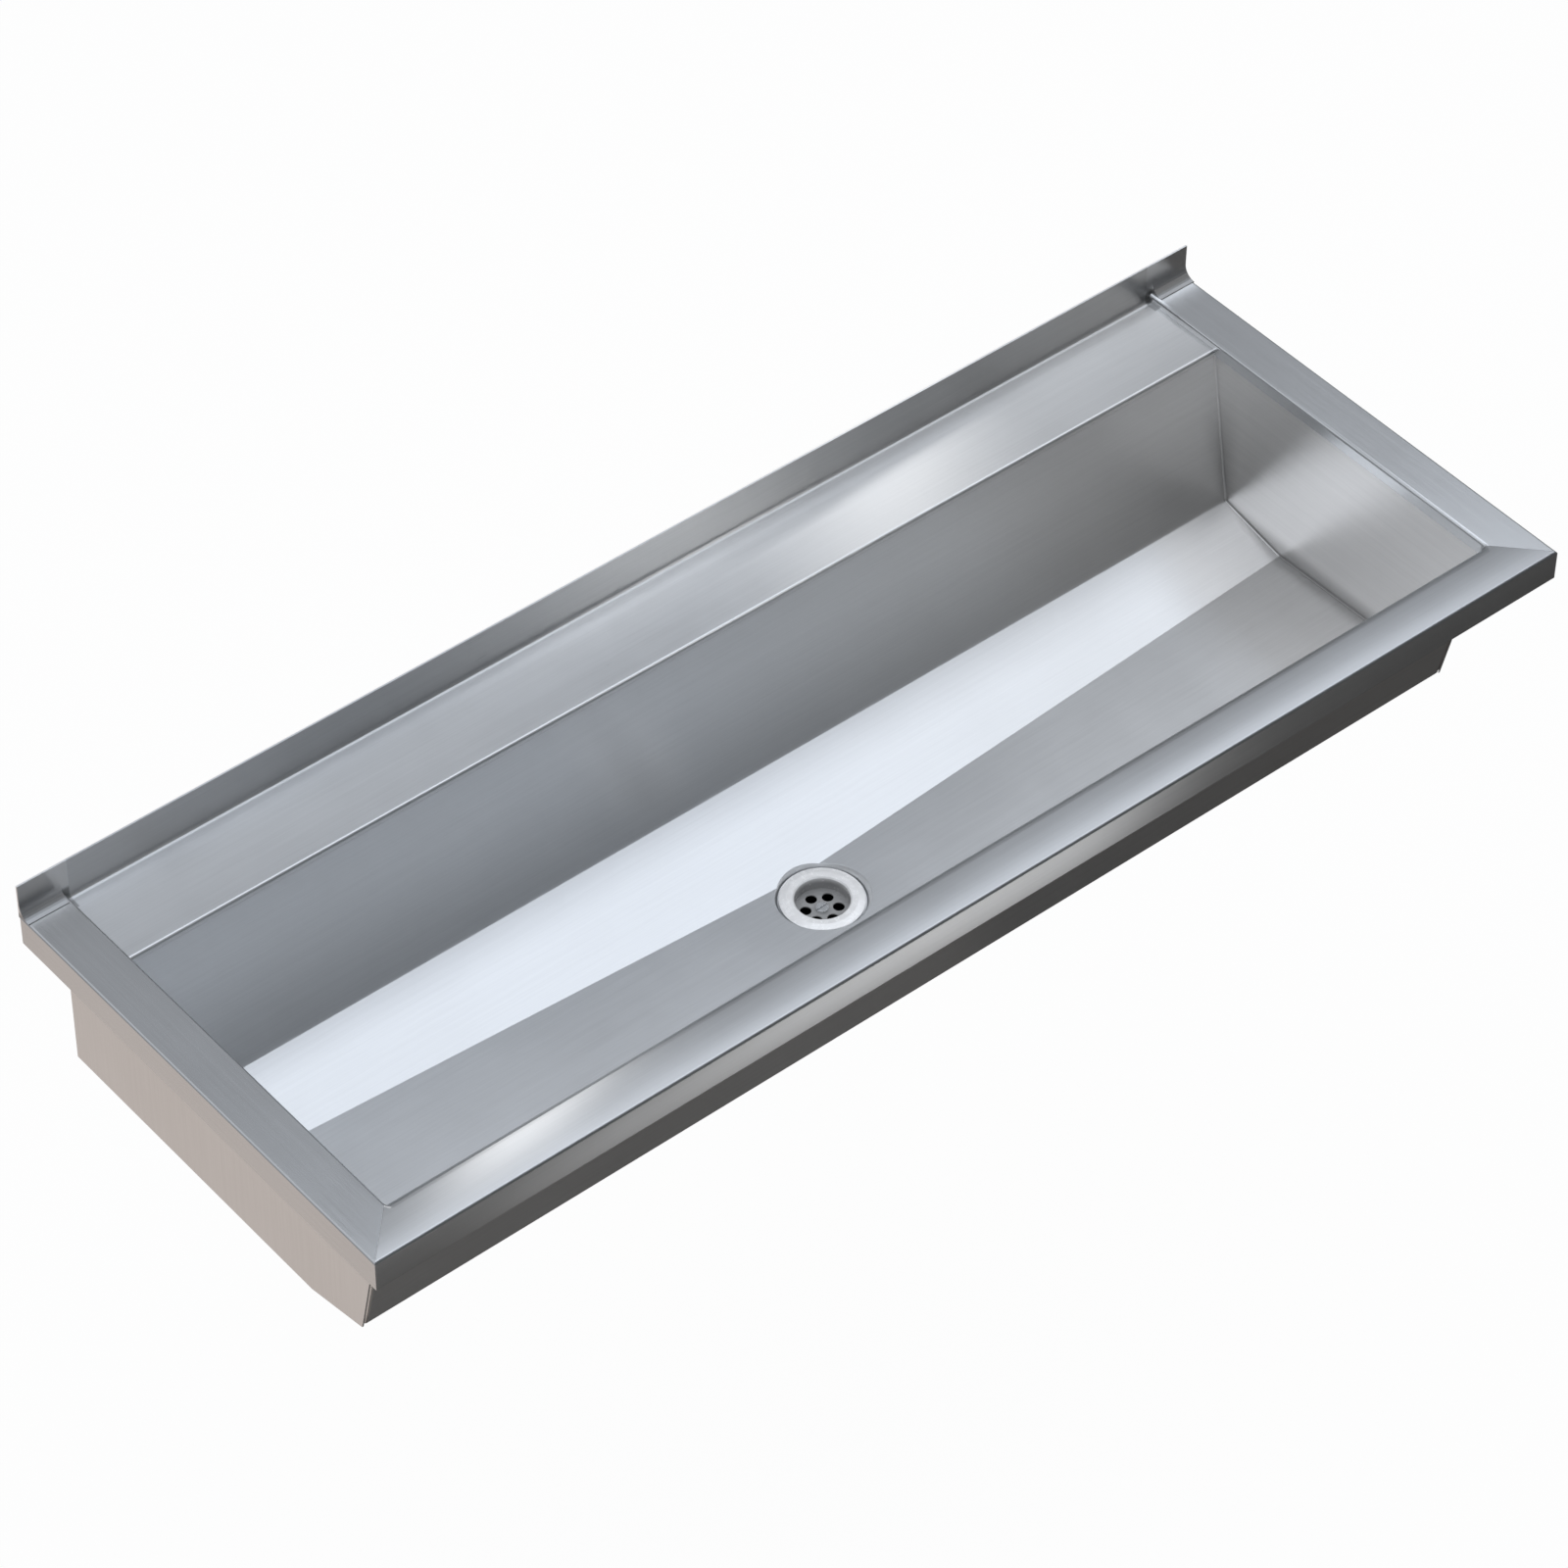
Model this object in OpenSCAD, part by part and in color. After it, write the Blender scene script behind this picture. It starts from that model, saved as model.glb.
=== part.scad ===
// Wall-hung trough sink of folded steel sheet, with a grid waste and two wall brackets.
// X runs along the length, Y = 0 is the wall with the front at -Y, and Z is up.
// The origin is the middle of the four wall fixing holes, on the wall.

/* [Overall] */
// Length over the end lips
length = 1200; // [1000:50:1800]
// Depth from the wall to the front lip
depth = 450; // [420:10:500]
// Height of the rim above the middle of the fixing holes
rim_z = 90; // [85:1:100]
// Thickness of the sheet
sheet = 1.5; // [1.2:0.1:2]

/* [Rim] */
// Height of the lip round the front and the ends
lip_h = 29; // [20:1:40]
// Radius of the bend between the rim and the lip
lip_r = 2.5; // [2.2:0.1:4]
// Distance from the front lip to the line where the front wall would meet the rim
front_rim_w = 43; // [38:1:55]
// Distance from an end lip to the face of the end wall
end_rim_w = 41; // [35:1:55]
// Radius of the rolled edge along the front wall
front_roll_r = 10; // [4:0.5:12]
// Radius of the rolled edges along the end walls
end_roll_r = 3; // [2:0.5:8]
// Depth below the rim of the seam between the rim and the bowl
seam_drop = 13; // [12.5:0.5:16]

/* [Ledge and upstand] */
// Distance from the wall to the ledge's front edge
ledge_d = 84; // [80:1:90]
// Drop from the rim to the ledge
ledge_drop = 7.5; // [5:0.5:8]
// Radius of the ledge's front edge
ledge_r = 3; // [2:0.5:4]
// Radius of the fold between the ledge and the upstand
upstand_r = 4; // [2:1:16]
// Height of the upstand above the rim
upstand_h = 32; // [20:1:60]
// Radius of the cove between the upstand and the end rims
cove_r = 12; // [4:1:16]

/* [Bowl] */
// Radius of the edges round the end walls
end_r = 2; // [1.5:0.5:5]
// Radius of the folds at the feet of the front and back walls
fold_r = 2; // [1.5:0.5:6]
// Distance from the wall to the back wall's foot
back_foot_y = 111.2; // [108:1:120]
// Depth of the back wall's foot below the rim
back_foot_drop = 158.5; // [140:1:170]
// Distance from the wall to the front wall's foot
front_foot_y = 371.5; // [365:1:385]
// Depth of the front wall's foot below the rim
front_foot_drop = 168.7; // [160:1:175]
// Fall of the rear floor panel for each unit of its depth
floor_fall = 0.22; // [0.2:0.01:0.25]
// Distance from the wall to the floor's crease at the end walls
crease_end_y = 180.5; // [170:1:190]
// Distance from the wall to the floor's crease at mid-length
crease_mid_y = 210; // [205:1:215]

/* [Gables] */
// Depth of the gables below the rim
gable_drop = 184.5; // [182:0.5:190]
// Distance from the wall to the foot of a gable's sloping front
gable_kink_y = 308.5; // [290:1:320]

/* [Waste] */
// Distance from the wall to the middle of the waste
waste_y = 240; // [235:1:245]
// Depth of the pressed seat below the rim
seat_drop = 183.5; // [183:0.5:188]
// Radius of the flat of the pressed seat
seat_r = 36.5; // [36:0.5:39]
// Height of the pressed seat's cone, which ends above the floor
seat_rise = 16; // [15:1:20]
// Spread of the pressed seat's cone over its height
seat_spread = 8; // [6:1:12]
// Radius of the hole in the bowl
waste_hole_r = 26; // [25.5:0.5:27]
// Radius of the strainer's flange
flange_r = 35.5; // [34:0.5:36]
// Thickness of the strainer's flange at its edge
flange_t = 1.2; // [1:0.1:2]
// Rise of the flange's dome above its edge
flange_rise = 1; // [0.5:0.1:1.5]
// Radius of the strainer's well
well_r = 23; // [21:0.5:24]
// Depth of the well below the top of the flange
well_d = 12.7; // [9:0.1:14]
// Radius of the strainer's round holes
grid_hole_r = 4.8; // [3:0.1:5]
// Radius of the circle on which the round holes lie
grid_circle_r = 13.7; // [13:0.1:15]
// Number of round holes
grid_holes = 6; // [4:1:6]
// Turn of the grid about the upright
grid_turn = 31; // [0:1:60]
// Thickness of the seal above the sheet
upper_seal_t = 1; // [0.5:0.1:1.5]
// Thickness of the seal below the sheet
lower_seal_t = 2; // [1:0.5:3]
// Outside radius of the seals and of the body's flange
seal_r = 33; // [32:0.5:35]
// Inside radius of the body's cup
cup_r = 25.5; // [25:0.1:26]
// Thickness of the body's walls
cup_t = 3; // [2.5:0.5:4]
// Height of the body's cup
cup_h = 28; // [24:1:34]
// Outside radius of the threaded tail
tail_r = 23.9; // [23:0.1:25]
// Length of the tail below the cup
tail_h = 38; // [30:1:60]
// Radius of the bore through the tail
tail_bore_r = 20; // [18:0.5:21]
// Radius of the boss for the strainer's screw
boss_r = 6; // [5:0.5:8]
// Radius of the strainer's screw
screw_r = 3; // [2.5:0.5:4]
// Radius of the screw's head
screw_head_r = 5.5; // [5:0.5:7]
// Height of the screw's head
screw_head_h = 2.4; // [2:0.1:4]
// Length of the screw under its head
screw_len = 12; // [8:1:12]
// Height of the spokes that carry the boss
spoke_h = 4; // [3:0.5:6]

/* [Brackets] */
// Distance from an end lip to the middle of a bracket
bracket_inset = 150; // [120:5:220]
// Upright distance between a bracket's two holes
fixing_pitch = 80; // [70:5:85]
// Radius of the wall fixing holes
fixing_r = 4.5; // [4:0.5:6]
// Width of a bracket
bracket_w = 44; // [40:1:60]
// Reach of a bracket's arm from the wall
arm_reach = 78; // [70:1:80]
// Thickness of a bracket's plates
bracket_t = 4; // [3:0.5:5]
// Length of a bracket's leg below its arm
leg_h = 124; // [120:1:130]
// Depth of the stiffener under the ledge
stiffener_h = 18; // [16:1:20]
// Width of the stiffener over its flanges
stiffener_w = 66; // [60:1:68]
// Width of each flange of the stiffener
stiffener_flange = 13; // [10:1:15]
// Distance from the wall to the stiffener's rear flange
stiffener_y = 10; // [8:1:12]
// Thickness of the stiffener
stiffener_t = 2; // [1.5:0.5:3]
// Gap between the end of the stiffener and a gable
stiffener_gap = 30; // [10:5:45]

/* [Fasteners] */
// Radius of the bracket bolts
bolt_r = 4; // [3:0.5:5]
// Width across the flats of the bolt heads and nuts
bolt_flats = 13; // [11:1:15]
// Height of the bolt heads
bolt_head_h = 5.3; // [4:0.1:6]
// Height of the nuts
nut_h = 6.5; // [5:0.5:8]
// Radius of the washers
washer_r = 8; // [7.5:0.5:9]
// Thickness of the washers
washer_t = 1.6; // [1:0.1:2]
// Clearance between a fastener and its hole
fit_gap = 0.25; // [0.1:0.05:0.5]

/* [Pads and earth tag] */
// Length of a sound pad
pad_l = 300; // [200:10:400]
// Width of a sound pad
pad_w = 56; // [40:1:60]
// Thickness of a sound pad
pad_t = 3; // [2:0.5:5]
// Distance from an end wall to the outer end of a sound pad
pad_inset = 130; // [20:10:150]
// Width of the earth tag
tag_w = 16; // [12:1:20]
// Height of the earth tag
tag_h = 34; // [30:1:40]
// Reach of the earth tag's free leg
tag_reach = 20; // [16:1:24]
// Distance from the wall to the earth tag's free leg
tag_y = 36; // [30:1:45]
// Depth of the earth tag's top below the rim
tag_drop = 70; // [60:1:90]
// Radius of the earth bolt
earth_r = 3; // [2.5:0.5:3]
// Width across the flats of the earth bolt and nut
earth_flats = 10; // [9:1:11]
// Height of the earth bolt's head and of its nut
earth_head_h = 4; // [3.5:0.5:5]

/* [Making] */
// Overrun of cutting shapes past the face they cut
over = 1; // [0.5:0.5:2]

/* [Hidden] */

$fn = 64;

steel = [0.68, 0.70, 0.72];
dark_steel = [0.45, 0.46, 0.47];
bright_steel = [0.86, 0.87, 0.88];
zinc = [0.60, 0.62, 0.63];
rubber = [0.12, 0.12, 0.13];
bitumen = [0.18, 0.17, 0.16];

// Number of flats in a bend, in the end of the bowl, and along half of the floor.
bend_steps = 5;
cove_steps = 9;
end_steps = 6;
floor_steps = 14;

wall_x = length / 2 - end_rim_w;
end_x = wall_x - end_r;
gable_x = wall_x + sheet;
bracket_x = length / 2 - bracket_inset;
stiffener_x = gable_x - stiffener_gap;
seam_z = rim_z - seam_drop;
ledge_z = rim_z - ledge_drop;
ledge_under_z = ledge_z - sheet;

// The front wall leans through the rim line and its foot, and the back wall through the ledge and its foot.
front_top = [front_rim_w - depth, rim_z];
front_foot = [-front_foot_y, rim_z - front_foot_drop];
back_top = [-ledge_d, ledge_z];
back_foot = [-back_foot_y, rim_z - back_foot_drop];
front_lean = (front_foot[0] - front_top[0]) / (front_top[1] - front_foot[1]);
back_lean = (back_top[0] - back_foot[0]) / (back_top[1] - back_foot[1]);
lean_angle = atan(front_lean);

seat_z = rim_z - seat_drop;
flange_z = seat_z + upper_seal_t;
flange_top_z = flange_z + flange_t + flange_rise;
well_z = flange_top_z - well_d;
well_out_r = well_r + flange_t;
body_z = seat_z - sheet - lower_seal_t;
tail_z = body_z - cup_h;
arm_z = ledge_under_z - stiffener_h;
hat_web_z = arm_z + stiffener_t;
bolt_y = -stiffener_y - stiffener_w / 2;
bolt_z = arm_z - bracket_t - washer_t - nut_h;
tag_z = rim_z - tag_drop;
tag_t = stiffener_t;
lug_z = tag_z - tag_w / 2;
lug_x = gable_x - tag_t - (tag_reach - tag_t) / 2;

// Geometry of folded sheet.

function unit(v) = v / norm(v);

// The sheet lies on the right of its path, and this is the direction that its thickness grows in.
function side(a, b) = let (d = unit(b - a)) [d[1], -d[0]];

function path_side(path, i) =
    let (k = min(max(i, 0), len(path) - 2))
    side(path[k], path[k + 1]);

// One corner of a path moved out by grow. A positive radius bends round a point on the left.
function corner(p, s1, s2, r, grow) =
    let (m = (s1 + s2) / (1 + s1 * s2))
    r == 0
        ? [p + grow * m]
        : [for (k = [0 : bend_steps])
            let (f = k / bend_steps)
            p - r * m + (r + grow) * unit(s1 * (1 - f) + s2 * f)];

function moved_path(path, radii, grow) =
    [for (i = [0 : len(path) - 1])
        each corner(path[i], path_side(path, i - 1), path_side(path, i), radii[i], grow)];

function reversed(list) = [for (i = [len(list) - 1 : -1 : 0]) list[i]];

function folded_sheet(path, radii, thickness) =
    concat(moved_path(path, radii, 0), reversed(moved_path(path, radii, thickness)));

// A solid through rings of points, all with the same number of points.
module loft(rings) {
    n = len(rings[0]);
    last = len(rings) - 1;
    polyhedron(
        points = [for (ring = rings) each ring],
        faces = concat(
            [[for (i = [0 : n - 1]) i]],
            [for (k = [0 : last - 1], i = [0 : n - 1])
                let (j = (i + 1) % n)
                each [[k * n + i, (k + 1) * n + i, (k + 1) * n + j], [k * n + i, (k + 1) * n + j, k * n + j]]],
            [[for (i = [n - 1 : -1 : 0]) last * n + i]]));
}

// An outline in the YZ plane drawn along X.
module along_x(x0, x1) {
    translate([x0, 0, 0])
        rotate([90, 0, 90])
            linear_extrude(x1 - x0)
                children();
}

// An outline in the XZ plane drawn along Y.
module along_y(y0, y1) {
    translate([0, y1, 0])
        rotate([90, 0, 0])
            linear_extrude(y1 - y0)
                children();
}

module box(low, high) {
    translate(low)
        cube(high - low);
}

module mirrored_x(flip) {
    mirror([flip ? 1 : 0, 0, 0])
        children();
}

// The bowl.

function front_wall_y(z) = front_top[0] + front_lean * (rim_z - z);

function back_wall_y(z) = back_top[0] - back_lean * (back_top[1] - z);

function crease_y(x) = -crease_mid_y + (crease_mid_y - crease_end_y) * min(abs(x) / wall_x, 1);

function crease_z(x) = back_foot[1] - floor_fall * (back_foot[0] - crease_y(x));

// Bowl's outline at x, from the front wall round the floor to the back wall, grown outward.
function bowl_outline(x, grow) =
    let (top = rim_z + over,
        path = [[front_wall_y(top), top], front_foot, [crease_y(x), crease_z(x)], back_foot,
            [back_wall_y(top), top]])
    [for (p = moved_path(path, [0, fold_r, 0, fold_r, 0], grow)) [x, p[0], p[1]]];

// Places along the bowl: [x, growth] round the left end, along the floor, and round the right end.
function bowl_places(grow) =
    let (r = end_r + grow,
        left = [for (k = [0 : end_steps - 1])
            let (a = 90 - 90 * k / end_steps)
            [-end_x - r * sin(a), r * cos(a) - end_r]],
        middle = [for (k = [-floor_steps : floor_steps]) [end_x * k / floor_steps, grow]])
    concat(left, middle, [for (p = reversed(left)) [-p[0], p[1]]]);

module bowl_body(grow) {
    loft([for (p = bowl_places(grow))
        [for (q = bowl_outline(min(max(p[0], -wall_x), wall_x), p[1])) [p[0], q[1], q[2]]]]);
}

// The pressed seat of the waste, as a cone that opens upward.
module seat_body(grow) {
    r = seat_r + grow * (norm([seat_rise, seat_spread]) - seat_spread) / seat_rise;
    translate([0, -waste_y, seat_z - grow])
        cylinder(r1 = r, r2 = r + seat_spread, h = seat_rise);
}

module bowl_skin() {
    difference() {
        union() {
            bowl_body(sheet);
            seat_body(sheet);
        }
        bowl_body(0);
        seat_body(0);
        translate([0, -waste_y, seat_z - sheet - over])
            cylinder(r = waste_hole_r, h = sheet + 2 * over);
    }
}

module bowl_between(x0, x1) {
    intersection() {
        bowl_skin();
        box([x0, -depth, seat_z - 2 * sheet], [x1, 0, seam_z]);
    }
}

module bowl_pan() {
    color(steel)
        bowl_between(-end_x, end_x);
}

module end_wall(flip) {
    color(steel)
        mirrored_x(flip)
            bowl_between(-length / 2, -end_x);
}

// The rim.

function rim_ring_point(right, a, front, end) =
    let (half = end_r / cos(lean_angle),
        yc = front_wall_y(front[1]) + half,
        x = end_x + (end[0] - end_x) * sin(a),
        y = yc - (yc - front[0]) * cos(a),
        z = front[1] * pow(cos(a), 2) + end[1] * pow(sin(a), 2))
    [right ? x : -x, y, z];

// One ring of the opening in the rim, from a front wall point [y, z] and an end wall point [x, z].
function rim_ring(front, end) =
    concat(
        [[-end[0], over, end[1]]],
        [for (k = [0 : end_steps]) rim_ring_point(false, 90 - 90 * k / end_steps, front, end)],
        [for (k = [0 : end_steps]) rim_ring_point(true, 90 * k / end_steps, front, end)],
        [[end[0], over, end[1]]]);

// Opening of the rim, grown outward. The edges roll over at the top.
module rim_opening(grow) {
    low = seam_z - (grow == 0 ? over : 0);
    high = rim_z + (grow == 0 ? over : -sheet / 2);
    fr = front_roll_r - grow;
    er = end_roll_r - grow;
    fz = rim_z - front_roll_r;
    fy = front_wall_y(fz) - front_roll_r / cos(lean_angle);
    roll = [for (k = [0 : bend_steps])
        let (b = 90 * k / bend_steps,
            a = lean_angle + (90 - lean_angle) * k / bend_steps)
        [[fy + fr * cos(a), fz + fr * sin(a)],
            [wall_x + end_roll_r - er * cos(b), rim_z - end_roll_r + er * sin(b)]]];
    last = roll[bend_steps];
    loft(concat(
        [rim_ring([front_wall_y(low) - grow / cos(lean_angle), low], [wall_x + grow, low])],
        [for (p = roll) rim_ring(p[0], p[1])],
        [rim_ring([last[0][0], high], [last[1][0], high])]));
}

// The rim's blank before its opening is cut, a tray with bent edges on the front and the ends.
module tray_solid(inset) {
    r = lip_r - inset;
    top = rim_z - inset;
    low = rim_z - lip_h - (inset > 0 ? over : 0);
    x = length / 2 - inset;
    y = -depth + inset;
    bend = [for (k = [0 : bend_steps]) let (a = 90 * k / bend_steps) [r * sin(a) - r, r * cos(a) - r]];
    intersection() {
        along_x(-length / 2, length / 2)
            polygon(concat([[0, low], [0, top]], [for (p = bend) [y - p[0], top + p[1]]], [[y, low]]));
        along_y(-depth, 0)
            polygon(concat(
                [[x, low]],
                [for (p = reversed(bend)) [x + p[0], top + p[1]]],
                [for (p = bend) [-x - p[0], top + p[1]]],
                [[-x, low]]));
    }
}

module rim_all() {
    difference() {
        union() {
            difference() {
                tray_solid(0);
                tray_solid(sheet);
            }
            intersection() {
                rim_opening(sheet);
                box([-length / 2, -depth, seam_z], [length / 2, -sheet, rim_z]);
            }
        }
        rim_opening(0);
        box([-length / 2 - over, -sheet, seam_z - lip_h], [length / 2 + over, over, rim_z + over]);
    }
}

// Plan of the mitred front rim. Its slanting edges run from the lip corners to the bowl corners.
module mitre_plan() {
    out = [length / 2, -depth];
    in = [end_x, front_wall_y(rim_z) + end_r];
    step = (in - out) / 10;
    polygon([[-in[0] - step[0], in[1] + step[1]], [in[0] + step[0], in[1] + step[1]],
        out - step, [-out[0] + step[0], out[1] - step[1]]]);
}

module front_rim() {
    color(steel)
        intersection() {
            rim_all();
            translate([0, 0, seam_z - lip_h])
                linear_extrude(lip_h + seam_drop + over)
                    mitre_plan();
        }
}

module end_rim(flip) {
    color(steel)
        mirrored_x(flip)
            difference() {
                intersection() {
                    rim_all();
                    box([-length / 2, -depth, seam_z - lip_h], [-wall_x + end_r, 0, rim_z]);
                }
                translate([0, 0, seam_z - lip_h - over])
                    linear_extrude(lip_h + seam_drop + 2 * over)
                        mitre_plan();
            }
}

// The ledge and the upstand are one folded sheet. The cove closes the upstand against the end rims.
module rear_upstand() {
    path = [[back_wall_y(seam_z), seam_z], back_top, [-sheet, ledge_z], [-sheet, rim_z + upstand_h]];
    cove = [for (k = [0 : cove_steps])
        let (a = 90 * k / cove_steps)
        [-sheet - cove_r * (1 - sin(a)), rim_z + cove_r * (1 - cos(a))]];
    roll_x = wall_x + end_roll_r;
    color(steel) {
        along_x(-wall_x, wall_x)
            polygon(folded_sheet(path, [0, -ledge_r, upstand_r, 0], sheet));
        for (flip = [false, true])
            mirrored_x(flip) {
                box([wall_x - sheet, -sheet, ledge_under_z], [roll_x, 0, rim_z]);
                box([wall_x - sheet, -sheet, rim_z - sheet], [length / 2, 0, rim_z + upstand_h]);
                along_x(roll_x, length / 2)
                    polygon(concat([[0, rim_z]], cove, [[0, rim_z + cove_r]]));
            }
    }
}

// The gables.

module gable(flip) {
    top = rim_z - end_roll_r - sheet;
    foot_z = front_foot[1] - sheet;
    low = rim_z - gable_drop;
    front_y = front_wall_y(foot_z) - sheet / cos(lean_angle);
    top_y = front_wall_y(top) - sheet / cos(lean_angle);
    color(steel)
        mirrored_x(flip)
            along_x(-gable_x - sheet, -gable_x)
                polygon([[0, ledge_under_z], [-sheet, ledge_under_z], [-sheet, top], [top_y, top],
                    [front_y, foot_z], [-gable_kink_y, low], [0, low]]);
}

// The stiffener and the brackets.

module ledge_stiffener() {
    front = -stiffener_y - stiffener_w;
    path = [[front, ledge_under_z], [front + stiffener_flange, ledge_under_z],
        [front + stiffener_flange, arm_z + stiffener_t], [-stiffener_y - stiffener_flange, arm_z + stiffener_t],
        [-stiffener_y - stiffener_flange, ledge_under_z], [-stiffener_y, ledge_under_z]];
    color(zinc)
        difference() {
            along_x(-stiffener_x, stiffener_x)
                polygon(folded_sheet(path, [for (p = path) 0], stiffener_t));
            for (x = [-bracket_x, bracket_x])
                translate([x, bolt_y, arm_z - over])
                    cylinder(r = bolt_r + fit_gap, h = stiffener_t + 2 * over);
        }
}

// A bracket in its own place about x = 0: a leg on the wall, an arm, and a gusset along each side.
module bracket_body() {
    half = bracket_w / 2;
    under = arm_z - bracket_t;
    low = arm_z - leg_h;
    difference() {
        union() {
            box([-half, -bracket_t, low], [half, 0, arm_z]);
            box([-half, -arm_reach, under], [half, 0, arm_z]);
            for (x = [-half, half - bracket_t])
                along_x(x, x + bracket_t)
                    polygon([[-bracket_t, under], [-arm_reach, under], [-bracket_t, low + bracket_w]]);
        }
        for (z = [-fixing_pitch / 2, fixing_pitch / 2])
            translate([0, over, z])
                rotate([90, 0, 0])
                    cylinder(r = fixing_r, h = bracket_t + 2 * over);
        translate([0, bolt_y, under - over])
            cylinder(r = bolt_r + fit_gap, h = bracket_t + 2 * over);
    }
}

module wall_bracket(flip) {
    color(zinc)
        mirrored_x(flip)
            translate([-bracket_x, 0, 0])
                bracket_body();
}

module hexagon(flats, h) {
    cylinder(d = flats / cos(30), h = h, $fn = 6);
}

module at_bolts() {
    for (x = [-bracket_x, bracket_x])
        translate([x, bolt_y, 0])
            children();
}

module bracket_bolts() {
    low = bolt_z - bolt_r / 2;
    color(zinc)
        at_bolts() {
            translate([0, 0, hat_web_z])
                hexagon(bolt_flats, bolt_head_h);
            translate([0, 0, low])
                cylinder(r = bolt_r, h = hat_web_z - low);
        }
}

module bracket_washers() {
    color(zinc)
        at_bolts()
            translate([0, 0, arm_z - bracket_t - washer_t])
                ring(washer_r, bolt_r + fit_gap, washer_t);
}

module bracket_nuts() {
    color(zinc)
        at_bolts()
            translate([0, 0, bolt_z])
                difference() {
                    hexagon(bolt_flats, nut_h);
                    translate([0, 0, -over])
                        cylinder(r = bolt_r + fit_gap / 2, h = nut_h + 2 * over);
                }
}

module ring(out_r, in_r, h) {
    difference() {
        cylinder(r = out_r, h = h);
        translate([0, 0, -over])
            cylinder(r = in_r, h = h + 2 * over);
    }
}

// The sound pads lie flat under the rear floor panel.
module sound_pad(flip) {
    color(bitumen)
        mirrored_x(flip)
            translate([pad_inset - wall_x, back_foot[0], back_foot[1]])
                rotate([atan(floor_fall), 0, 0])
                    translate([0, -pad_w - 2 * fold_r, -sheet - pad_t])
                        cube([pad_l, pad_w, pad_t]);
}

// The waste.

module at_waste(z) {
    translate([0, -waste_y, z])
        children();
}

module strainer() {
    dome_r = (flange_r + well_r) / 2;
    edge_share = 0.6;
    dome_share = 0.8;
    color(bright_steel)
        at_waste(0)
            difference() {
                rotate_extrude()
                    polygon([[0, well_z - flange_t], [well_out_r, well_z - flange_t], [well_out_r, flange_z],
                        [flange_r, flange_z], [flange_r, flange_z + flange_t * edge_share],
                        [flange_r - flange_t, flange_z + flange_t],
                        [dome_r + flange_t, flange_z + flange_t + flange_rise * dome_share],
                        [dome_r, flange_top_z], [well_r + flange_t, flange_top_z],
                        [well_r, flange_top_z - flange_t], [well_r, well_z], [0, well_z]]);
                translate([0, 0, well_z - flange_t - over])
                    cylinder(r = screw_r + fit_gap, h = flange_t + 2 * over);
                for (k = [0 : grid_holes - 1])
                    rotate([0, 0, grid_turn + 360 * k / grid_holes])
                        translate([grid_circle_r, 0, well_z - flange_t - over])
                            cylinder(r = grid_hole_r, h = flange_t + 2 * over);
            }
}

module strainer_screw() {
    slot_w = screw_head_h / 2;
    color(bright_steel)
        at_waste(well_z)
            difference() {
                union() {
                    cylinder(r = screw_head_r, h = screw_head_h);
                    translate([0, 0, -screw_len])
                        cylinder(r = screw_r, h = screw_len + over / 2);
                }
                translate([-screw_head_r, -slot_w / 2, slot_w])
                    cube([2 * screw_head_r, slot_w, screw_head_h]);
            }
}

module upper_seal() {
    color(rubber)
        at_waste(seat_z)
            ring(seal_r, waste_hole_r, upper_seal_t);
}

module lower_seal() {
    color(rubber)
        at_waste(seat_z - sheet - lower_seal_t)
            ring(seal_r, waste_hole_r, lower_seal_t);
}

// The body is a cup with three spokes that carry the screw's boss, and a tail for the trap.
module waste_body() {
    boss_top = well_z - flange_t;
    spoke_z = tail_z + 2 * cup_t;
    color(zinc)
        at_waste(0) {
            rotate_extrude()
                polygon([[cup_r, body_z], [seal_r, body_z], [seal_r, body_z - cup_t],
                    [cup_r + cup_t, body_z - cup_t], [cup_r + cup_t, tail_z + cup_t],
                    [tail_r, tail_z], [tail_r, tail_z - tail_h], [tail_bore_r, tail_z - tail_h],
                    [tail_bore_r, tail_z], [cup_r, tail_z + 1.5 * cup_t]]);
            difference() {
                union() {
                    translate([0, 0, spoke_z])
                        cylinder(r = boss_r, h = boss_top - spoke_z);
                    for (a = [0, 120, 240])
                        rotate([0, 0, grid_turn + a])
                            translate([boss_r / 2, -cup_t / 2, spoke_z])
                                cube([cup_r + cup_t / 2 - boss_r / 2, cup_t, spoke_h]);
                }
                translate([0, 0, boss_top - screw_len])
                    cylinder(r = screw_r + fit_gap / 2, h = screw_len + over);
            }
        }
}

// The earth tag is a small angle welded inside the right gable, with its bolt and nut.
module earth_tag() {
    color(dark_steel)
        difference() {
            union() {
                box([gable_x - tag_t, -tag_y, tag_z - tag_h], [gable_x, -tag_y + tag_w, tag_z]);
                box([gable_x - tag_reach, -tag_y, tag_z - tag_w], [gable_x, -tag_y + tag_t, tag_z]);
            }
            translate([lug_x, -tag_y - over, lug_z])
                rotate([-90, 0, 0])
                    cylinder(r = earth_r + fit_gap, h = tag_t + 2 * over);
        }
}

module earth_bolt() {
    color(zinc)
        translate([lug_x, -tag_y, lug_z])
            rotate([-90, 0, 0]) {
                translate([0, 0, -earth_head_h])
                    hexagon(earth_flats, earth_head_h);
                cylinder(r = earth_r, h = tag_t + 2 * earth_head_h);
            }
}

module earth_nut() {
    color(zinc)
        translate([lug_x, -tag_y + tag_t, lug_z])
            rotate([-90, 0, 0])
                difference() {
                    hexagon(earth_flats, earth_head_h);
                    translate([0, 0, -over])
                        cylinder(r = earth_r + fit_gap / 2, h = earth_head_h + 2 * over);
                }
}

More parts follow.
